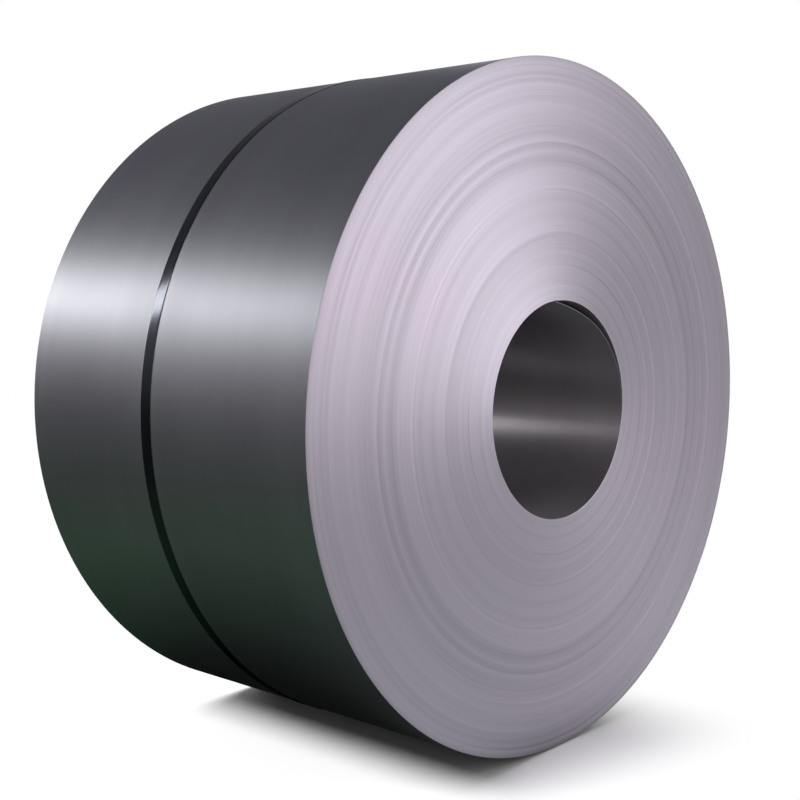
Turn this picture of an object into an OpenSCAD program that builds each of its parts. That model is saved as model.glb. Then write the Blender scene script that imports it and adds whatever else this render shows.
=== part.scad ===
// Coil of sheet steel lying on its side, held by one crimped steel strap.
// Millimetres, +Z up. The coil's axis runs along Y and the floor is z = 0.

/* [Coil] */
// Outside diameter over the last lap
coil_od = 1600; // [1000:10:2000]
// Eye diameter, the mandrel that the strip was wound on
eye_d = 508; // [400:1:762]
// Width of the strip
strip_w = 914; // [500:1:1600]
// Thickness of the strip
strip_t = 1; // [0.5:0.1:2]
// Where the last lap ends, in degrees round the axis from the right
tail_angle = -35; // [-180:5:180]
// Where the first lap starts in the eye, in degrees round the axis
head_angle = 95; // [-180:5:180]

/* [Coil ends] */
// Bands of laps that show on each end
band_count = 42; // [8:1:60]
// Farthest that a band of laps stands back from the end plane
band_setback = 2.2; // [0.5:0.1:6]
// How much the bands differ in height, as a share of their mean height
band_spread = 0.35; // [0:0.05:0.45]
// Every band of this count is flush with the end plane
flush_every = 3; // [2:1:6]

/* [Strap] */
// Width of the strap
strap_w = 32; // [19:1:50]
// Thickness of the strap
strap_t = 1; // [0.6:0.1:1.5]
// How far behind the middle of the coil's width the strap lies
strap_back = 32; // [-200:1:200]
// Loose end of the strap beyond the seal
strap_tail = 60; // [20:5:150]
// Clearance of the strap over the last lap
strap_gap = 0.3; // [0.1:0.1:0.8]

/* [Seal] */
// Length of the seal along the strap
seal_len = 58; // [40:1:90]
// Thickness of the seal's sheet
seal_t = 1.2; // [0.8:0.1:2]
// Clearance of the seal around the strap
seal_gap = 0.2; // [0.1:0.1:0.5]
// Middle of the seal, in degrees round the axis from the right
seal_angle = 20; // [-60:5:60]
// Crimps along each side of the seal
crimp_count = 2; // [1:1:4]
// Depth of a crimp into the seal's side
crimp_deep = 5; // [2:0.5:8]
// Length of a crimp at the seal's side
crimp_len = 9; // [4:0.5:14]

/* [Hidden] */
$fn = 180;
coil_r = coil_od / 2;
eye_r = eye_d / 2;
half_w = strip_w / 2;
strap_r = coil_r + strap_gap;
axis_z = strap_r + strap_t;
band_h = (coil_r - eye_r) / band_count;
// turns each band's number into an irregular but fixed step
band_step = 137.5;
// the turned blank runs past the last lap, which trims it
blank_r = coil_r + band_h;
lap_r = strap_r + strap_t;
// the loose end bites into the strap below it, as one piece of steel
lap_bite = strap_t / 4;
seal_in_r = lap_r + strap_t + seal_gap;
seal_half_w = strap_w / 2 + seal_gap + seal_t;
seal_deg = seal_len / seal_in_r * 180 / PI;
tail_deg = strap_tail / lap_r * 180 / PI;
crimp_pitch = seal_len / (crimp_count + 1);
// what a cutter runs past the faces that it cuts
over = 5;
// facets of a full turn where only a few degrees of it are swept
short_sweep_fn = 1800;

// Radius where band k starts; the first and last run past the laps that trim them
function band_r(k) =
    k == 0 ? eye_r - band_h :
    k == band_count ? blank_r :
    eye_r + band_h * (k + band_spread * sin(k * band_step));

// How far band k stands back from the end plane; the first and last are flush
function band_back(k, turn) =
    k == 0 || (band_count - 1 - k) % flush_every == 0 ? 0 :
    band_setback * (0.2 + 0.8 * pow(sin(k * band_step + turn), 2));

// Both ends of every band as a stepped line from the eye outward
function end_line(turn) = [
    for (k = [0 : band_count - 1], side = [0, 1])
        [band_r(k + side), half_w - band_back(k, turn)]
];

function flipped(line) = [
    for (i = [len(line) - 1 : -1 : 0])
        [line[i][0], -line[i][1]]
];

// Lays a piece made on the Z axis down along Y, with its top end to the front
module lay() {
    translate([0, 0, axis_z])
        rotate([90, 0, 0])
            children();
}

// Disc whose edge winds out clockwise by one strip thickness in a turn, as two half turns
module wound_disc(r, h, angle) {
    rotate([0, 0, angle])
    mirror([0, 1, 0]) {
        rotate_extrude(angle = 180)
            translate([0, -h / 2])
                square([r - strip_t, h]);
        translate([strip_t / 2, 0, 0])
            rotate([0, 0, 180])
                rotate_extrude(angle = 180)
                    translate([0, -h / 2])
                        square([r - strip_t / 2, h]);
    }
}

// Turned blank with the bands of laps stepped on both ends
module blank() {
    rotate_extrude()
        polygon(concat(end_line(0), flipped(end_line(90))));
}

module coil() {
    color([0.62, 0.62, 0.65])
        lay()
            difference() {
                intersection() {
                    blank();
                    wound_disc(coil_r, strip_w + over, tail_angle);
                }
                wound_disc(eye_r + strip_t, strip_w + 2 * over, head_angle);
            }
}

// Part of a ring round the axis: its inside radius, thickness, width, start and sweep
module hoop(r, t, w, start, sweep) {
    rotate([0, 0, start])
        rotate_extrude(angle = sweep)
            translate([r, -strap_back - w / 2])
                square([t, w]);
}

module strap() {
    color([0.10, 0.11, 0.14])
        lay() {
            hoop(strap_r, strap_t, strap_w, 0, 360);
            hoop(lap_r - lap_bite, strap_t + lap_bite, strap_w,
                seal_angle, seal_deg / 2 + tail_deg, $fn = short_sweep_fn);
        }
}

// Crimps on one side of the seal, each a notch that narrows inward
module crimps(side) {
    for (i = [1 : crimp_count])
        rotate([0, 0, seal_angle - seal_deg / 2 + seal_deg * i * crimp_pitch / seal_len])
            translate([0, 0, -strap_back + side * seal_half_w])
                rotate([0, 90, 0])
                    linear_extrude(seal_in_r + seal_t + over)
                        polygon([
                            [side * crimp_deep, 0],
                            [-side * over, -crimp_len],
                            [-side * over, crimp_len]
                        ]);
}

module strap_seal() {
    color([0.16, 0.17, 0.20])
        lay()
            difference() {
                hoop(strap_r, seal_in_r + seal_t - strap_r, 2 * seal_half_w,
                    seal_angle - seal_deg / 2, seal_deg, $fn = short_sweep_fn);
                hoop(strap_r - over, seal_in_r - strap_r + over, strap_w + 2 * seal_gap,
                    seal_angle - seal_deg, 2 * seal_deg, $fn = short_sweep_fn);
                crimps(1);
                crimps(-1);
            }
}

coil();
strap();
strap_seal();
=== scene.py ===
import math
import bpy
import numpy as np
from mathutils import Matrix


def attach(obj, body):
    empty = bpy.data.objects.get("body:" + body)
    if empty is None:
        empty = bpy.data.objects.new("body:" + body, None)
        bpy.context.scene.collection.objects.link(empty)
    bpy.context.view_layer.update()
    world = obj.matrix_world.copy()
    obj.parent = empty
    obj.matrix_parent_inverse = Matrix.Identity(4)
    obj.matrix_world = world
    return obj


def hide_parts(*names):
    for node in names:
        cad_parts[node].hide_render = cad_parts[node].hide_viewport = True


# Coil of sheet steel on its side with one crimped strap, metres, axis along Y
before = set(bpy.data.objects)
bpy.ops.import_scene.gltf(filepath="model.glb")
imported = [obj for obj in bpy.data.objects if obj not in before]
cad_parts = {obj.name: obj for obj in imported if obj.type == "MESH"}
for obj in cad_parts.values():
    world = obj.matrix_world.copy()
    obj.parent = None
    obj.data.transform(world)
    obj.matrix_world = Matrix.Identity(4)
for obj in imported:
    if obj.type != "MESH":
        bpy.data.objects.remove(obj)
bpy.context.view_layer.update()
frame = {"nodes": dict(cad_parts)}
print("frame loaded:", ", ".join(frame["nodes"]))

scene = bpy.context.scene
scene.view_settings.view_transform = "Standard"


# Mesh helpers

def gridCells(rows, columns, closeRows, closeColumns):
    # four corners of each cell between neighbouring rows and columns,
    # with the last joined to the first where closed
    firstI = np.arange(rows if closeRows else rows - 1)
    firstJ = np.arange(columns if closeColumns else columns - 1)
    i, j = (grid.ravel() for grid in np.meshgrid(firstI, firstJ, indexing="ij"))
    row, nextRow = i * columns, (i + 1) % rows * columns
    nextJ = (j + 1) % columns
    return np.stack((row + j, nextRow + j, nextRow + nextJ, row + nextJ), axis=1)


def cellMap(along, around):
    # map position of each cell's corners: u runs with the rows and v with the columns,
    # and each list has one more value than there are cells that way
    u0, v0 = np.meshgrid(along[:-1], around[:-1], indexing="ij")
    u1, v1 = np.meshgrid(along[1:], around[1:], indexing="ij")
    corners = np.stack((u0, v0, u1, v0, u1, v1, u0, v1), axis=-1)
    return corners.reshape(-1, 2)


def runLength(line):
    # length along a line of points, 0 at its start
    sizes = np.linalg.norm(np.diff(line, axis=0), axis=-1)
    return np.concatenate(([0], np.cumsum(sizes)))


def makePiece(name, points, cells, corners, finishes, finishOfCell, sharpAngle):
    # mesh object from point, cell and map arrays, with a finish number for each cell
    mesh = bpy.data.meshes.new(name)
    mesh.from_pydata(points.reshape(-1, 3).tolist(), [], cells.tolist())
    wind = mesh.uv_layers.new(name="wind")
    wind.data.foreach_set("uv", np.ascontiguousarray(corners, dtype=np.float32).ravel())
    for finish in finishes:
        mesh.materials.append(finish)
    mesh.polygons.foreach_set("material_index", np.ascontiguousarray(finishOfCell, dtype=np.int32))
    mesh.polygons.foreach_set("use_smooth", np.ones(len(cells), dtype=bool))
    mesh.set_sharp_from_angle(angle=math.radians(sharpAngle))
    mesh.update()
    piece = bpy.data.objects.new(name, mesh)
    scene.collection.objects.link(piece)
    return piece


def enclosed(points, cells):
    # signed volume of a closed mesh, above zero when its faces point outwards:
    # a sixth of the sum of the triple products of each cell's two triangles
    p = points.reshape(-1, 3)
    a, b, c, d = (p[cells[:, k]] for k in range(4))
    triples = np.einsum("ij,ij->i", a, np.cross(b, c)) + np.einsum("ij,ij->i", a, np.cross(c, d))
    return float(triples.sum() / 6)


def outward(points, cells, corners):
    # turns every cell round if the mesh is inside out
    if enclosed(points, cells) > 0:
        return cells, corners
    return cells[:, ::-1], corners.reshape(-1, 4, 2)[:, ::-1].reshape(-1, 2)


def closedStrip(points):
    # cells of a loop of profile points carried along a path,
    # with both ends filled by cells across the profile
    rows, around = points.shape[:2]
    cells = gridCells(rows, around, False, True)
    half = around // 2
    j = np.arange(half - 1)
    start = np.stack((j, j + 1, around - 2 - j, around - 1 - j), axis=1)
    last = start[:, ::-1] + (rows - 1) * around
    along = runLength(points[:, 0])
    across = runLength(np.vstack((points[0], points[0, :1])))
    corners = cellMap(along, across)[:, ::-1]        # the map's u lies across the strip, as on the coil
    endMap = 0.001 * np.array([[0, 0], [1, 0], [1, 1], [0, 1]])      # one patch for every end cell
    ends = np.tile(endMap, (2 * (half - 1), 1))
    return outward(points, np.concatenate((cells, start, last)), np.concatenate((corners, ends)))


def smoothStep(low, high, value):
    # 3t^2 - 2t^3 with t running from 0 at low to 1 at high
    t = np.clip((value - low) / (high - low), 0, 1)
    return t * t * (3 - 2 * t)


# Node helpers

noises = {"ringRough": 0.6, "cloudRough": 0.55, "middle": 0.5}


def addNode(tree, kind, fields, feeds):
    # a node with its fields set and each input fed by a number or by another node's output
    node = tree.nodes.new(kind)
    for field, value in fields.items():
        setattr(node, field, value)
    for key, value in feeds.items():
        if isinstance(value, bpy.types.NodeSocket):
            tree.links.new(value, node.inputs[key])
        else:
            node.inputs[key].default_value = value
    return node


def math2(tree, step, a, b):
    return addNode(tree, "ShaderNodeMath", {"operation": step}, {0: a, 1: b}).outputs[0]


def vector2(tree, step, a, b=(0, 0, 0)):
    # vector from a step on one or two vectors
    return addNode(tree, "ShaderNodeVectorMath", {"operation": step}, {0: a, 1: b}).outputs[0]


def measure(tree, step, a, b=(0, 0, 0)):
    # number from a step on one or two vectors
    return addNode(tree, "ShaderNodeVectorMath", {"operation": step}, {0: a, 1: b}).outputs["Value"]


def scaled(tree, a, share):
    return addNode(tree, "ShaderNodeVectorMath", {"operation": "SCALE"}, {0: a, "Scale": share}).outputs[0]


def weighted(tree, values, weights):
    # sum of values, each times its weight
    total, *rest = (math2(tree, "MULTIPLY", value, weight) for value, weight in zip(values, weights))
    for part in rest:
        total = math2(tree, "ADD", total, part)
    return total


def ringNoise(tree, place, scale, detail):
    # noise along one line, so it repeats nowhere across it
    feeds = {"W": place, "Scale": scale, "Detail": detail, "Roughness": noises["ringRough"]}
    return addNode(tree, "ShaderNodeTexNoise", {"noise_dimensions": "1D"}, feeds).outputs[0]


def cloudNoise(tree, place, scale, detail):
    feeds = {"Vector": place, "Scale": scale, "Detail": detail, "Roughness": noises["cloudRough"]}
    return addNode(tree, "ShaderNodeTexNoise", {"noise_dimensions": "3D"}, feeds).outputs[0]


def spread(tree, value, taken, given, ease="LINEAR"):
    # maps the taken range onto the given one and holds its ends
    feeds = {
        "Value": value, "From Min": taken[0], "From Max": taken[1],
        "To Min": given[0], "To Max": given[1],
    }
    fields = {"clamp": True, "interpolation_type": ease}
    return addNode(tree, "ShaderNodeMapRange", fields, feeds).outputs[0]


def tint(tree, share, a, b):
    # colour a where share is 0 and colour b where it is 1
    feeds = {0: share, 6: a, 7: b}
    return addNode(tree, "ShaderNodeMix", {"data_type": "RGBA", "clamp_factor": True}, feeds).outputs[2]


def ramp(tree, value, places, colours):
    # colour by value, with a stop at each place
    node = addNode(tree, "ShaderNodeValToRGB", {}, {0: value})
    stops = node.color_ramp.elements
    while len(stops) < len(places):
        stops.new(1.0)
    for stop, place, colour in zip(stops, places, colours):
        stop.position, stop.color = place, (*colour, 1)
    return node.outputs[0]


def startFinish(name):
    finish = bpy.data.materials.new(name)
    finish.use_nodes = True
    tree = finish.node_tree
    tree.nodes.clear()
    end = tree.nodes.new("ShaderNodeOutputMaterial")
    return finish, tree, end


def bareMetal(tree, end, feeds):
    # metal shader with these feeds, joined to the finish's end
    shader = addNode(tree, "ShaderNodeBsdfPrincipled", {}, {"Metallic": 1.0, **feeds})
    tree.links.new(shader.outputs[0], end.inputs[0])


def windTangent(tree):
    fields = {"direction_type": "UV_MAP", "uv_map": "wind"}
    return addNode(tree, "ShaderNodeTangent", fields, {}).outputs[0]


def axisPlace(tree):
    # place measured from the coil's axis, and its distance along the axis
    coords = tree.nodes.new("ShaderNodeTexCoord").outputs["Object"]
    feeds = {"Vector": coords, "Location": (0, 0, -coil["axisHeight"])}
    centred = addNode(tree, "ShaderNodeMapping", {}, feeds).outputs[0]
    along = addNode(tree, "ShaderNodeSeparateXYZ", {}, {0: centred}).outputs[1]
    return centred, along


# Coil

coil = {
    "outside": 0.8, "eye": 0.254, "width": 0.914, "strip": 0.001, "axisHeight": 0.8013,
    "tailAngle": -35.0, "headAngle": 95.0,           # where the last lap ends and the first one starts
    "bands": 42, "bandSpread": 0.35, "bandTurn": 137.5, "flushEvery": 3,
    "setback": 0.0005, "setbackLow": 0.2,            # farthest that a band stands back, and the least share
    "frontTurn": 0, "backTurn": 90,                  # give each end its own pattern
    "rowsAt": (0.0, 0.3, 0.55, 0.8),                 # rows of a band, as shares of its height
    "lapRelief": 0.00004,                            # how uneven the laps of a band are
    "stepDegrees": 0.03, "edge": 0.0006,             # half of the step at a strip end, and the rim
    "eyeRows": 10, "outRows": 14, "columns": 236, "seed": 11, "sharp": 30,
}


def woundRadius(radius, startAngle, angles):
    # clockwise from its start the wall is a half turn at radius - strip,
    # then a half turn about a centre half a strip off
    t = coil["strip"]
    a = np.radians((startAngle - angles) % 360)
    drift = t / 2 * np.cos(a) + np.sqrt((radius - t / 2) ** 2 - (t / 2 * np.sin(a)) ** 2)
    return np.where(a < math.pi, radius - t, drift)


def roundAxis(rho, angles, y):
    # points at radius rho and at an angle in degrees round the coil's axis, and at y along it
    a = np.radians(angles)
    x, z = rho * np.cos(a), coil["axisHeight"] + rho * np.sin(a)
    return np.stack((x, np.broadcast_to(y, rho.shape), z), axis=-1)


def bandRows(turn, noise):
    # radius and setback of every row of one end, from the eye out:
    # a band starts with a soft slope from the one inside it
    count, share, low = coil["bands"], np.array(coil["rowsAt"]), coil["setbackLow"]
    height = (coil["outside"] - coil["eye"]) / count
    k = np.arange(count + 1)
    edges = coil["eye"] + height * (k + coil["bandSpread"] * np.sin(np.radians(k * coil["bandTurn"])))
    edges[0], edges[-1] = coil["eye"], coil["outside"]
    k = k[:-1]
    back = coil["setback"] * (low + (1 - low) * np.sin(np.radians(k * coil["bandTurn"] + turn)) ** 2)
    back = np.where((k == 0) | ((count - 1 - k) % coil["flushEvery"] == 0), 0, back)
    radii = edges[:-1, None] + (edges[1:] - edges[:-1])[:, None] * share
    deep = back[:, None] + coil["lapRelief"] * noise.random(radii.shape)
    deep[1:, 0] = back[:-1]                          # a border row still belongs to the band inside it
    return np.append(radii.ravel(), edges[-1]), np.append(deep.ravel(), back[-1])


def coilGrid():
    # closed cross-section carried round the axis: eye wall to the back, back end outward,
    # outer wall to the front, front end inward
    noise = np.random.default_rng(coil["seed"])
    half, edge = coil["width"] / 2, coil["edge"]
    frontR, frontBack = bandRows(coil["frontTurn"], noise)
    backR, backBack = bandRows(coil["backTurn"], noise)
    eyeY = np.linspace(-half + edge, half - edge, coil["eyeRows"])
    outY = np.linspace(half - edge, -half + edge, coil["outRows"])
    y = np.concatenate((eyeY, half - backBack, outY, -half + frontBack[::-1]))
    fixed = np.concatenate((0 * eyeY, backR, 0 * outY, frontR[::-1]))
    eyeEnd = len(eyeY)
    outStart = eyeEnd + len(backR)
    outEnd = outStart + len(outY)
    eyeShare, outShare = np.zeros(len(y)), np.zeros(len(y))
    eyeShare[:eyeEnd], outShare[outStart:outEnd] = 1, 1
    rims = ((eyeShare, edge, (eyeEnd, len(y) - 1)), (outShare, -edge, (outStart - 1, outEnd)))
    for shares, inset, rows in rims:                 # the rim rows follow the walls, an edge's width in
        for row in rows:
            shares[row], fixed[row] = 1, inset
    even = np.linspace(0, 360, coil["columns"], endpoint=False)
    stripEnds = [coil[end] % 360 for end in ("tailAngle", "headAngle")]
    steps = [end + side * coil["stepDegrees"] for end in stripEnds for side in (-1, 1)]
    angles = np.unique(np.concatenate((even, steps)))
    eyeWall = woundRadius(coil["eye"] + coil["strip"], coil["headAngle"], angles)
    outWall = woundRadius(coil["outside"], coil["tailAngle"], angles)
    rho = fixed[:, None] + eyeShare[:, None] * eyeWall + outShare[:, None] * outWall
    points = roundAxis(rho, angles, y[:, None])
    cells = gridCells(len(y), len(angles), True, True)
    section = np.stack((rho[:, 0], y), axis=-1)
    length = runLength(np.vstack((section, section[:1])))
    corners = cellMap(length / length[-1], np.append(angles, angles[0] + 360) / 360)
    finishOfRow = np.ones(len(y), dtype=int)         # 0 outer wall, 1 lap edges, 2 eye wall
    finishOfRow[:eyeEnd - 1] = 2
    finishOfRow[outStart:outEnd - 1] = 0
    return points, cells, corners, np.repeat(finishOfRow, len(angles))


rolled = {                                           # what all rolled sheet has in common
    "bands": (9, 2), "fine": (260, 3), "cloud": (3.5, 3),        # scale and detail of each noise
    "toneParts": (0.5, 0.2, 0.3), "toneFrom": (0.35, 0.65),      # shares of bands, fine grain and cloud
    "roughParts": (0.6, 0.4), "roughFrom": (0.3, 0.7),           # shares of cloud and fine grain
    "bumpDeep": 0.0004,
}
outerSteel = {
    "light": (0.44, 0.445, 0.48, 1), "dark": (0.39, 0.395, 0.425, 1),
    "rough": (0.41, 0.48), "grain": 0.35, "bump": 0.05,
}
eyeSteel = {
    "light": (0.44, 0.42, 0.435, 1), "dark": (0.385, 0.365, 0.375, 1),
    "rough": (0.4, 0.48), "grain": 0.85, "bump": 0.06,
}
# painted shade: the sprung lap's cut edge gets a darker steel than the lap edges on the ends, for the shade
# down in the eye
shadePaintedEdge = {**outerSteel, "light": (0.25, 0.245, 0.25, 1), "dark": (0.19, 0.185, 0.19, 1)}


def rolledFinish(name, look):
    # rolled sheet: faint bands that run with the rolling direction, soft clouds,
    # and a fine grain across the width
    finish, tree, end = startFinish(name)
    centred, along = axisPlace(tree)
    bands = ringNoise(tree, along, *rolled["bands"])
    fine = ringNoise(tree, along, *rolled["fine"])
    cloud = cloudNoise(tree, centred, *rolled["cloud"])
    tone = weighted(tree, (bands, fine, cloud), rolled["toneParts"])
    colour = tint(tree, spread(tree, tone, rolled["toneFrom"], (0, 1)), look["dark"], look["light"])
    uneven = weighted(tree, (cloud, fine), rolled["roughParts"])
    rough = spread(tree, uneven, rolled["roughFrom"], look["rough"])
    relief = {"Strength": look["bump"], "Distance": rolled["bumpDeep"], "Height": fine}
    bareMetal(tree, end, {
        "Base Color": colour, "Roughness": rough, "Anisotropic": look["grain"],
        "Tangent": windTangent(tree), "Normal": addNode(tree, "ShaderNodeBump", {}, relief).outputs[0],
    })
    return finish


lapEdges = {
    "light": (0.68, 0.63, 0.72, 1), "dark": (0.59, 0.545, 0.615, 1),
    "rough": (0.475, 0.535), "grain": 0.53, "bump": 0.1, "bumpDeep": 0.0005,
    "lean": 8.8,                                     # degrees that each lap's cut edge leans from the eye
    "endShift": 0.9,                                 # moves the rings with the place along the axis
    # scale and detail of each noise
    "broad": (14, 2), "mid": (75, 3), "fine": (420, 4), "cloud": (2.2, 2),
    "ringParts": (0.6, 0.4), "broadPart": 0.5,       # shares of middle and fine rings, and of broad ones
    "fadeFrom": (0.35, 0.65), "fadeTo": (0.6, 1.5),  # how the cloud fades the rings
    "toneFrom": (0.25, 0.75), "roughFrom": (0.3, 0.7),
    # tone of the rings, at shares of the outside radius; the lightest, next to the eye, is a painted
    # highlight on the eye's rim
    "ringAt": (0.0, 0.322, 0.328, 0.42, 0.434, 0.448, 0.55, 0.69, 0.716, 0.735,
               0.755, 0.77, 0.8, 0.83, 0.915, 0.938, 0.96, 0.988, 0.996),
    "ringToneAndRimHighlight": (1.1, 1.1, 1.03, 1.02, 0.98, 1.01, 0.99, 1.02, 0.9, 0.97,
                 0.94, 0.98, 0.94, 1.0, 1.0, 0.93, 1.0, 1.0, 0.88),
}


def lapFinish(name, look):
    # edges of the laps: rings of three widths that fade in and out round the coil,
    # each end with its own
    finish, tree, end = startFinish(name)
    centred, along = axisPlace(tree)
    across = vector2(tree, "MULTIPLY", centred, (1, 0, 1))
    radius = measure(tree, "LENGTH", across)
    place = math2(tree, "ADD", radius, math2(tree, "MULTIPLY", along, look["endShift"]))
    broad, mid, fine = (ringNoise(tree, place, *look[key]) for key in ("broad", "mid", "fine"))
    cloud = cloudNoise(tree, centred, *look["cloud"])
    fade = spread(tree, cloud, look["fadeFrom"], look["fadeTo"])
    middle = noises["middle"]
    rings = math2(tree, "SUBTRACT", weighted(tree, (mid, fine), look["ringParts"]), middle)
    swell = math2(tree, "MULTIPLY", math2(tree, "SUBTRACT", broad, middle), look["broadPart"])
    share = math2(tree, "ADD", math2(tree, "ADD", middle, math2(tree, "MULTIPLY", rings, fade)), swell)
    colour = tint(tree, spread(tree, share, look["toneFrom"], (0, 1)), look["dark"], look["light"])
    most = max(look["ringToneAndRimHighlight"])                     # the ramp holds shares of the lightest tone
    outShare = math2(tree, "DIVIDE", radius, coil["outside"])
    tone = ramp(tree, outShare, look["ringAt"], [(t / most,) * 3 for t in look["ringToneAndRimHighlight"]])
    colour = scaled(tree, vector2(tree, "MULTIPLY", colour, tone), most)
    rough = spread(tree, share, look["roughFrom"], look["rough"][::-1])
    lean = scaled(tree, vector2(tree, "NORMALIZE", across), math.tan(math.radians(look["lean"])))
    level = tree.nodes.new("ShaderNodeNewGeometry").outputs["Normal"]
    leaned = vector2(tree, "NORMALIZE", vector2(tree, "ADD", level, lean))
    height = math2(tree, "ADD", fine, mid)
    relief = {"Strength": look["bump"], "Distance": look["bumpDeep"], "Height": height, "Normal": leaned}
    bareMetal(tree, end, {
        "Base Color": colour, "Roughness": rough, "Anisotropic": look["grain"],
        "Tangent": windTangent(tree), "Normal": addNode(tree, "ShaderNodeBump", {}, relief).outputs[0],
    })
    return finish


outerFinish = rolledFinish("rolledSteel", outerSteel)
endFinish = lapFinish("lapEdgeSteel", lapEdges)
eyeFinish = rolledFinish("eyeSteel", eyeSteel)
shadePaintedEdgeFinish = rolledFinish("shadePaintedEdge", shadePaintedEdge)
coilFinishes = (outerFinish, endFinish, eyeFinish)
points, cells, corners, finishOfCell = coilGrid()
print("coil: %d cells, encloses %.4f m3" % (len(cells), enclosed(points, cells)))
woundCoil = makePiece("woundCoil", points, cells, corners, coilFinishes, finishOfCell, coil["sharp"])
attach(woundCoil, "root")
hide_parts("coil")


# Loose lap in the eye: the start of the strip has sprung in from the wall

looseLap = {
    "tipAngle": 96.0, "endAngle": -22.0,             # where it starts, and where it lies on the wall again
    "depth": 0.0185, "backShare": 0.7,               # how far it springs in, and its share at the back
    "thick": 0.002, "thinFrom": 0.6,                 # thins to nothing past this share of its length
    "wallGap": 0.0002, "inset": 0.0012, "rows": 110, "across": 8,
    "endPlane": 1e-6, "sharp": 30,                   # cells flatter than this along Y show the edge
}


def looseGrid():
    # strip that lies off the eye wall by t(1-t)^3 of its length, which is 27/256 at most,
    # so it leaves at its tip and comes back level; carried along the axis
    half = coil["width"] / 2 - looseLap["inset"]
    angles = np.linspace(looseLap["tipAngle"], looseLap["endAngle"], looseLap["rows"])
    t = np.linspace(0, 1, looseLap["rows"])
    spring = looseLap["depth"] * 256 / 27 * t * (1 - t) ** 3
    y = np.linspace(-half, half, looseLap["across"])
    keep = 1 - (1 - looseLap["backShare"]) * (y + half) / (2 * half)
    y = np.concatenate((y, y[::-1]))
    keep = np.concatenate((keep, keep[::-1]))
    side = np.concatenate((np.ones(looseLap["across"]), np.zeros(looseLap["across"])))
    thick = looseLap["thick"] * (1 - smoothStep(looseLap["thinFrom"], 1, t))
    rho = coil["eye"] + looseLap["wallGap"] - spring[:, None] * keep - thick[:, None] * side
    return roundAxis(rho, angles[:, None], y)


points = looseGrid()
cells, corners = closedStrip(points)
edgeCell = np.ptp(points.reshape(-1, 3)[cells][:, :, 1], axis=1) < looseLap["endPlane"]
# the lap's cut edge takes the darker steel with painted shade
lapFinishes = (eyeFinish, shadePaintedEdgeFinish)
sprungLap = makePiece("sprungLap", points, cells, corners, lapFinishes, edgeCell, looseLap["sharp"])
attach(sprungLap, "root")
print("sprung lap: %d cells" % len(cells))


# Strap

strap = {
    "radius": 0.8003, "width": 0.032, "thick": 0.001,
    "middle": 0.032,                                 # place of its middle along the axis
    "seat": 0.00006,                                 # clearance on the last lap
    # near the floor and near the seal it keeps its own radius:
    # degrees off where that starts, and where it is full
    "floorAngle": -90.0, "floorClear": (34.0, 14.0),
    "sealAngle": 20.0, "sealClear": (14.0, 8.5),
    "tailDegrees": 6.35, "rampDegrees": 1.6, "lapGap": 0.00008,
    "tailLift": 0.0009, "liftDegrees": 3.2, "liftPower": 1.5,
    "rows": 420, "rampRows": 40, "sharp": 35,
    "edge": 0.00035,                                 # size of its rounding
    "edgeRise": 0.25, "flatFrom": 4,                 # in edges: its rise one edge in, and its flat
}


def strapSeat(angles):
    # inside radius: the last lap's, in a straight line past that lap's end,
    # and the strap's own at the floor and under the seal
    low = coil["outside"] - coil["strip"]
    reach = math.acos(low / coil["outside"])
    past = np.radians((coil["tailAngle"] - angles) % 360)
    bridge = low / np.cos(np.clip(reach - past, 0, reach))
    seat = np.maximum(woundRadius(coil["outside"], coil["tailAngle"], angles), bridge) + strap["seat"]
    sealMiddle = strap["sealAngle"] + strap["tailDegrees"] / 2
    clear = 0
    for middle, span in ((strap["floorAngle"], strap["floorClear"]), (sealMiddle, strap["sealClear"])):
        off = np.abs((angles - middle + 180) % 360 - 180)
        clear = np.maximum(clear, smoothStep(*span, off))
    return seat + (strap["radius"] - seat) * clear


def strapGrid():
    # rounded flat profile carried once round the coil and on over its own start;
    # it climbs by its thickness under the seal
    far = 360 + strap["tailDegrees"]
    even = np.linspace(0, far, strap["rows"])
    fine = np.linspace(360 - strap["rampDegrees"] / 2, far, strap["rampRows"])
    turned = np.unique(np.concatenate((even, fine)))
    climb = (strap["thick"] + strap["lapGap"]) * smoothStep(360 - strap["rampDegrees"], 360, turned)
    lift = strap["tailLift"] * smoothStep(far - strap["liftDegrees"], far, turned) ** strap["liftPower"]
    half, e = strap["width"] / 2, strap["edge"]
    flat, soft = half - strap["flatFrom"] * e, strap["edgeRise"] * e
    across = np.array([-half, -half + e, -flat, -half / 2, 0, half / 2, flat, half - e, half])
    rise = np.array([e, soft, 0, 0, 0, 0, 0, soft, e])
    across = np.concatenate((across, across[::-1]))
    high = np.concatenate((rise, strap["thick"] - rise[::-1]))
    angles = strap["sealAngle"] + turned
    rho = (strapSeat(angles) + climb + lift)[:, None] + high
    return roundAxis(rho, angles[:, None], strap["middle"] + across)


bluedSteel = {
    "light": (0.08, 0.085, 0.098, 1), "dark": (0.056, 0.06, 0.071, 1), "worn": (0.2, 0.205, 0.215, 1),
    "rough": (0.11, 0.17), "wear": 0.2, "bump": 0.08, "bumpDeep": 0.0003,
    "cloud": (11, 4), "lines": (900, 3), "speck": (160, 3),      # scale and detail of each noise
    "toneFrom": (0.35, 0.65), "lineFrom": (0.56, 0.66), "speckFrom": (0.5, 0.62),
    "roughParts": (0.6, 0.4), "roughFrom": (0.35, 0.65),         # shares of cloud and specks
}
sealLook = {**bluedSteel, "light": (0.17, 0.18, 0.205, 1), "dark": (0.1, 0.11, 0.13, 1), "wear": 0.6}


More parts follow.
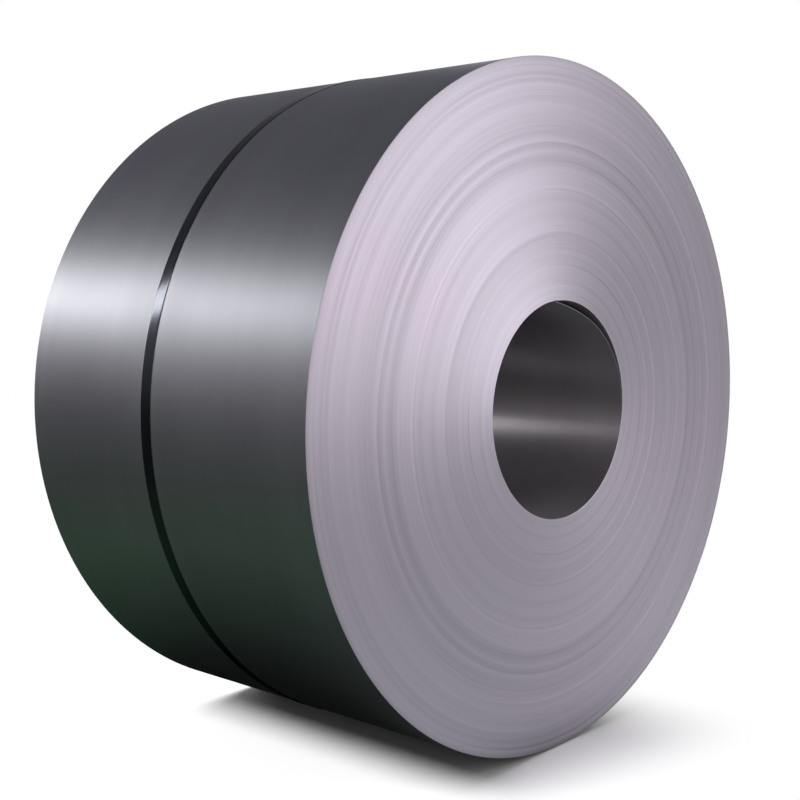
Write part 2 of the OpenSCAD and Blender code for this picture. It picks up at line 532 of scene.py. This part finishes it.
def strapFinish(name, look):
    # blue-black oxide that clouds, with fine scuffs along the strap where bare steel shows
    finish, tree, end = startFinish(name)
    centred, along = axisPlace(tree)
    cloud = cloudNoise(tree, centred, *look["cloud"])
    lines = ringNoise(tree, along, *look["lines"])
    speck = cloudNoise(tree, centred, *look["speck"])
    colour = tint(tree, spread(tree, cloud, look["toneFrom"], (0, 1)), look["dark"], look["light"])
    worn = spread(tree, speck, look["speckFrom"], (0, look["wear"]))
    scuff = math2(tree, "MULTIPLY", spread(tree, lines, look["lineFrom"], (0, 1)), worn)
    uneven = weighted(tree, (cloud, speck), look["roughParts"])
    relief = {"Strength": look["bump"], "Distance": look["bumpDeep"], "Height": speck}
    bareMetal(tree, end, {
        "Base Color": tint(tree, scuff, colour, look["worn"]),
        "Roughness": spread(tree, uneven, look["roughFrom"], look["rough"]),
        "Normal": addNode(tree, "ShaderNodeBump", {}, relief).outputs[0],
    })
    return finish


strapSteel = strapFinish("bluedStrapSteel", bluedSteel)
points = strapGrid()
cells, corners = closedStrip(points)
oneFinish = np.zeros(len(cells))
strapBand = makePiece("strapBand", points, cells, corners, (strapSteel,), oneFinish, strap["sharp"])
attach(strapBand, "root")
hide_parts("strap")
print("strap: %d cells" % len(cells))

sealSteel = strapFinish("bluedSealSteel", sealLook)
for holder in frame["nodes"]["strap_seal"].material_slots:
    holder.material = sealSteel


# Floor, hall cards, light and camera

studio = {
    "floorReach": 14.0, "floorColour": (0.84, 0.84, 0.845, 1), "white": (1, 1, 1, 1),
    "shadeMiddle": (-0.17, -0.05, 0.0),              # rectangle where the floor keeps its shade
    "shadeHalf": (0.27, 0.51, 0.0),
    "fadeTo": 0.4,                                   # metres beyond it where the floor is white
    "fill": 0.3, "sun": 4.4, "sunAngle": 22, "sunFrom": (-0.6, 0.13, 0.62),
    "cardHeight": -0.001,
    "discCells": (24, 96), "domeCells": (24, 64), "discHole": 0.001, "domeHole": 0.005, "sharp": 30,
}


def pathShare(tree):
    # 1 for rays from the camera, from gloss and through glass, to which the background is white
    path = tree.nodes.new("ShaderNodeLightPath").outputs
    gloss = math2(tree, "MAXIMUM", path["Is Glossy Ray"], path["Is Transmission Ray"])
    return math2(tree, "MAXIMUM", path["Is Camera Ray"], gloss)


def mixShaders(tree, end, share, a, b):
    # shader a where share is 0 and shader b where it is 1, joined to the end
    mix = addNode(tree, "ShaderNodeMixShader", {}, {0: share, 1: a.outputs[0], 2: b.outputs[0]})
    tree.links.new(mix.outputs[0], end.inputs[0])


def floorFinish():
    # pale floor that turns white to the camera with the distance from the shaded rectangle
    finish, tree, end = startFinish("paleFloor")
    coords = tree.nodes.new("ShaderNodeTexCoord").outputs["Object"]
    place = vector2(tree, "ABSOLUTE", vector2(tree, "SUBTRACT", coords, studio["shadeMiddle"]))
    place = vector2(tree, "MAXIMUM", vector2(tree, "SUBTRACT", place, studio["shadeHalf"]))
    fade = spread(tree, measure(tree, "LENGTH", place), (0, studio["fadeTo"]), (0, 1), "SMOOTHSTEP")
    pale = addNode(tree, "ShaderNodeBsdfDiffuse", {}, {"Color": studio["floorColour"]})
    white = addNode(tree, "ShaderNodeEmission", {}, {"Color": studio["white"], "Strength": 1.0})
    mixShaders(tree, end, math2(tree, "MULTIPLY", fade, pathShare(tree)), pale, white)
    return finish


def discGrid(reach, height):
    # rings round the origin, closer together near it
    rows, columns = studio["discCells"]
    r = reach * np.linspace(studio["discHole"], 1, rows)[:, None] ** 2
    a = np.linspace(0, 2 * math.pi, columns, endpoint=False)
    return np.stack((r * np.cos(a), r * np.sin(a), np.full((rows, columns), height)), axis=-1)


def domeGrid(reach):
    # the upper half of a ball, as latitude and longitude
    rows, columns = studio["domeCells"]
    t = np.linspace(0, math.pi / 2 - studio["domeHole"], rows)[:, None]
    a = np.linspace(0, 2 * math.pi, columns, endpoint=False)
    level = reach * np.cos(t)
    return np.stack((level * np.cos(a), level * np.sin(a), reach * np.sin(t) + 0 * a), axis=-1)


cards = {                                            # dim hall that steel mirrors
    "heights": (0.0, 0.05, 0.12, 0.25, 0.45, 0.6, 0.78, 1.0),    # sine of the height over the horizon
    "greys": ((0.06, 0.06, 0.06), (0.1, 0.1, 0.1), (0.2, 0.2, 0.21), (0.31, 0.31, 0.33),
              (0.2, 0.2, 0.22), (0.17, 0.17, 0.19), (0.1, 0.1, 0.115), (0.1, 0.1, 0.115)),
    "sides": (                                       # way, its cosines from none to all, and the gain there
        ((-0.14, -0.99, 0.0), (0.1, 0.75), 4.5),     # brighter on the side that the end face looks at
        ((0.85, -0.53, 0.0), (0.45, 0.9), 0.1),      # dimmer to the right of that
        ((0.81, 0.31, 0.5), (0.94, 0.99), 11.0),     # a skylight over the side away from the camera
    ),
    "brightTint": (1.0, 0.92, 0.92, 1),              # of the first side
    "reaches": (0.0, 0.4, 0.62, 0.95, 1.45, 2.9, 6.0, 13.0),     # metres from the origin to the rim
    # painted shadow: the floor greys are near black close to the coil, where its shade falls; the green
    # further out is the hall floor's own colour
    "shadowedFloorGreys": ((0.001, 0.0015, 0.001), (0.001, 0.0015, 0.001), (0.002, 0.004, 0.0025),
                   (0.02, 0.045, 0.026), (0.05, 0.1, 0.058), (0.05, 0.056, 0.052),
                   (0.062, 0.064, 0.061), (0.06, 0.06, 0.06)),
    # painted light: the front greys stand for the floor lit before the end face
    "litFrontGreys": ((0.4, 0.41, 0.42), (0.41, 0.42, 0.43), (0.39, 0.4, 0.415), (0.39, 0.4, 0.415),
                   (0.37, 0.38, 0.395), (0.2, 0.205, 0.21), (0.06, 0.06, 0.062), (0.04, 0.04, 0.04)),
    "frontFrom": (-0.457, -0.56),                    # along Y, where the painted light of the front greys starts and is full
}
cardReach = cards["reaches"][-1]


def glowing(tree, end, feeds):
    glow = addNode(tree, "ShaderNodeEmission", {}, feeds)
    tree.links.new(glow.outputs[0], end.inputs[0])


def wallCardFinish():
    # greys by height, with the gain of each side of the hall
    finish, tree, end = startFinish("wallCard")
    coords = tree.nodes.new("ShaderNodeTexCoord").outputs["Object"]
    way = vector2(tree, "NORMALIZE", coords)
    height = addNode(tree, "ShaderNodeSeparateXYZ", {}, {0: way}).outputs[2]
    greys = ramp(tree, height, cards["heights"], cards["greys"])
    gain, shares = 1, []
    for toward, taken, lift in cards["sides"]:
        facing = measure(tree, "DOT_PRODUCT", way, toward)
        shares.append(spread(tree, facing, taken, (0, 1)))
        gain = math2(tree, "MULTIPLY", gain, spread(tree, shares[-1], (0, 1), (1, lift)))
    warm = tint(tree, shares[0], studio["white"], cards["brightTint"])
    glowing(tree, end, {"Color": vector2(tree, "MULTIPLY", greys, warm), "Strength": gain})
    return finish


def floorCardFinish():
    # greys by distance: a painted shadow of the coil near the origin, and a painted pool of light before
    # the end face
    finish, tree, end = startFinish("floorCard")
    coords = tree.nodes.new("ShaderNodeTexCoord").outputs["Object"]
    share = math2(tree, "DIVIDE", measure(tree, "LENGTH", coords), cardReach)
    places = [reach / cardReach for reach in cards["reaches"]]
    greys, front = (ramp(tree, share, places, cards[row]) for row in ("shadowedFloorGreys", "litFrontGreys"))
    along = addNode(tree, "ShaderNodeSeparateXYZ", {}, {0: coords}).outputs[1]
    glowing(tree, end, {"Color": tint(tree, spread(tree, along, cards["frontFrom"], (0, 1)), greys, front)})
    return finish


def stagePiece(name, grid, finish):
    rows, columns = grid.shape[:2]
    cells = gridCells(rows, columns, False, True)
    corners = cellMap(np.linspace(0, 1, rows), np.linspace(0, 1, columns + 1))
    piece = makePiece(name, grid, cells, corners, (finish,), np.zeros(len(cells)), studio["sharp"])
    return piece


floor = stagePiece("floor", discGrid(studio["floorReach"], 0.0), floorFinish())
floor.visible_glossy = False
wallCard = stagePiece("wallCard", domeGrid(cardReach), wallCardFinish())
floorCard = stagePiece("floorCard", discGrid(cardReach, studio["cardHeight"]), floorCardFinish())
for card in (wallCard, floorCard):                   # only gloss sees the cards
    card.visible_camera = card.visible_diffuse = card.visible_transmission = False
    card.visible_shadow = card.visible_volume_scatter = False


def studioWorld():
    # even fill that is white to the camera and in gloss
    world = bpy.data.worlds.new("studioWorld")
    world.use_nodes = True
    tree = world.node_tree
    tree.nodes.clear()
    fill = addNode(tree, "ShaderNodeBackground", {}, {"Color": studio["white"], "Strength": studio["fill"]})
    white = addNode(tree, "ShaderNodeBackground", {}, {"Color": studio["white"], "Strength": 1.0})
    mixShaders(tree, tree.nodes.new("ShaderNodeOutputWorld"), pathShare(tree), fill, white)
    return world


scene.world = studioWorld()


def aimedTurn(place, target):
    # turn that points a lamp's -Z from its place to its target
    x, y, z = (t - p for t, p in zip(target, place))
    return (math.atan2(math.hypot(x, y), -z), 0, math.atan2(-x, y))


def softBox(name, place, target, size, radiance, colour, roll=0):
    # area lamp of the given radiance: its power is radiance times pi times its area
    lamp = bpy.data.lights.new(name, "AREA")
    lamp.shape, lamp.size, lamp.size_y = "RECTANGLE", size[0], size[1]
    lamp.energy, lamp.color = radiance * math.pi * size[0] * size[1], colour
    holder = bpy.data.objects.new(name, lamp)
    holder.location, holder.rotation_euler = place, aimedTurn(place, target)
    holder.rotation_euler[1] = math.radians(roll)    # about its aim, as all boxes aim level
    holder.visible_camera = False
    scene.collection.objects.link(holder)


windows = {                                          # a row of windows along the left
    "left": -3.4, "height": 3.05, "from": 3.0, "size": (2.4, 0.85),
    "radiances": (8.2, 10.4, 15.5), "colour": (1, 0.99, 0.99),
}
for k, radiance in enumerate(windows["radiances"]):
    along = windows["from"] + windows["size"][0] * (k + 0.5)
    place, target = ((x, along, windows["height"]) for x in (windows["left"], 0))
    softBox("window%d" % (k + 1), place, target, windows["size"], radiance, windows["colour"])

boxes = {
    "frontBox": {                                    # before the end face, with its top rolled to one side
        "place": (2.4, -3.9, 2.32), "target": (0, -0.457, 2.32), "size": (3.0, 4.4),
        "radiance": 1.68, "colour": (1, 1, 1), "roll": 16,
    },
    "backBox": {                                     # low behind the back end
        "place": (1.4, 4.2, 0.85), "target": (0, 0.457, 0.85), "size": (2.6, 1.5),
        "radiance": 1.2, "colour": (1, 0.98, 1),
    },
}
for name, box in boxes.items():
    softBox(name, **box)

sunLamp = bpy.data.lights.new("topSun", "SUN")
sunLamp.energy, sunLamp.angle = studio["sun"], math.radians(studio["sunAngle"])
topSun = bpy.data.objects.new("topSun", sunLamp)
topSun.rotation_euler = aimedTurn(studio["sunFrom"], (0, 0, 0))
topSun.visible_glossy = False
scene.collection.objects.link(topSun)

view = {
    "place": (-2.36566, -2.17506, 1.09076), "yaw": 0.8775475, "pitch": -0.0908758,
    "lens": 56.845, "sensor": 36, "shift": -0.1,
}
lens = bpy.data.cameras.new("camera")
lens.lens, lens.sensor_width, lens.shift_x = view["lens"], view["sensor"], view["shift"]
camera = bpy.data.objects.new("camera", lens)
camera.location = view["place"]
camera.rotation_euler = (math.pi / 2 + view["pitch"], 0, -view["yaw"])
scene.collection.objects.link(camera)
scene.camera = camera
print("studio ready")
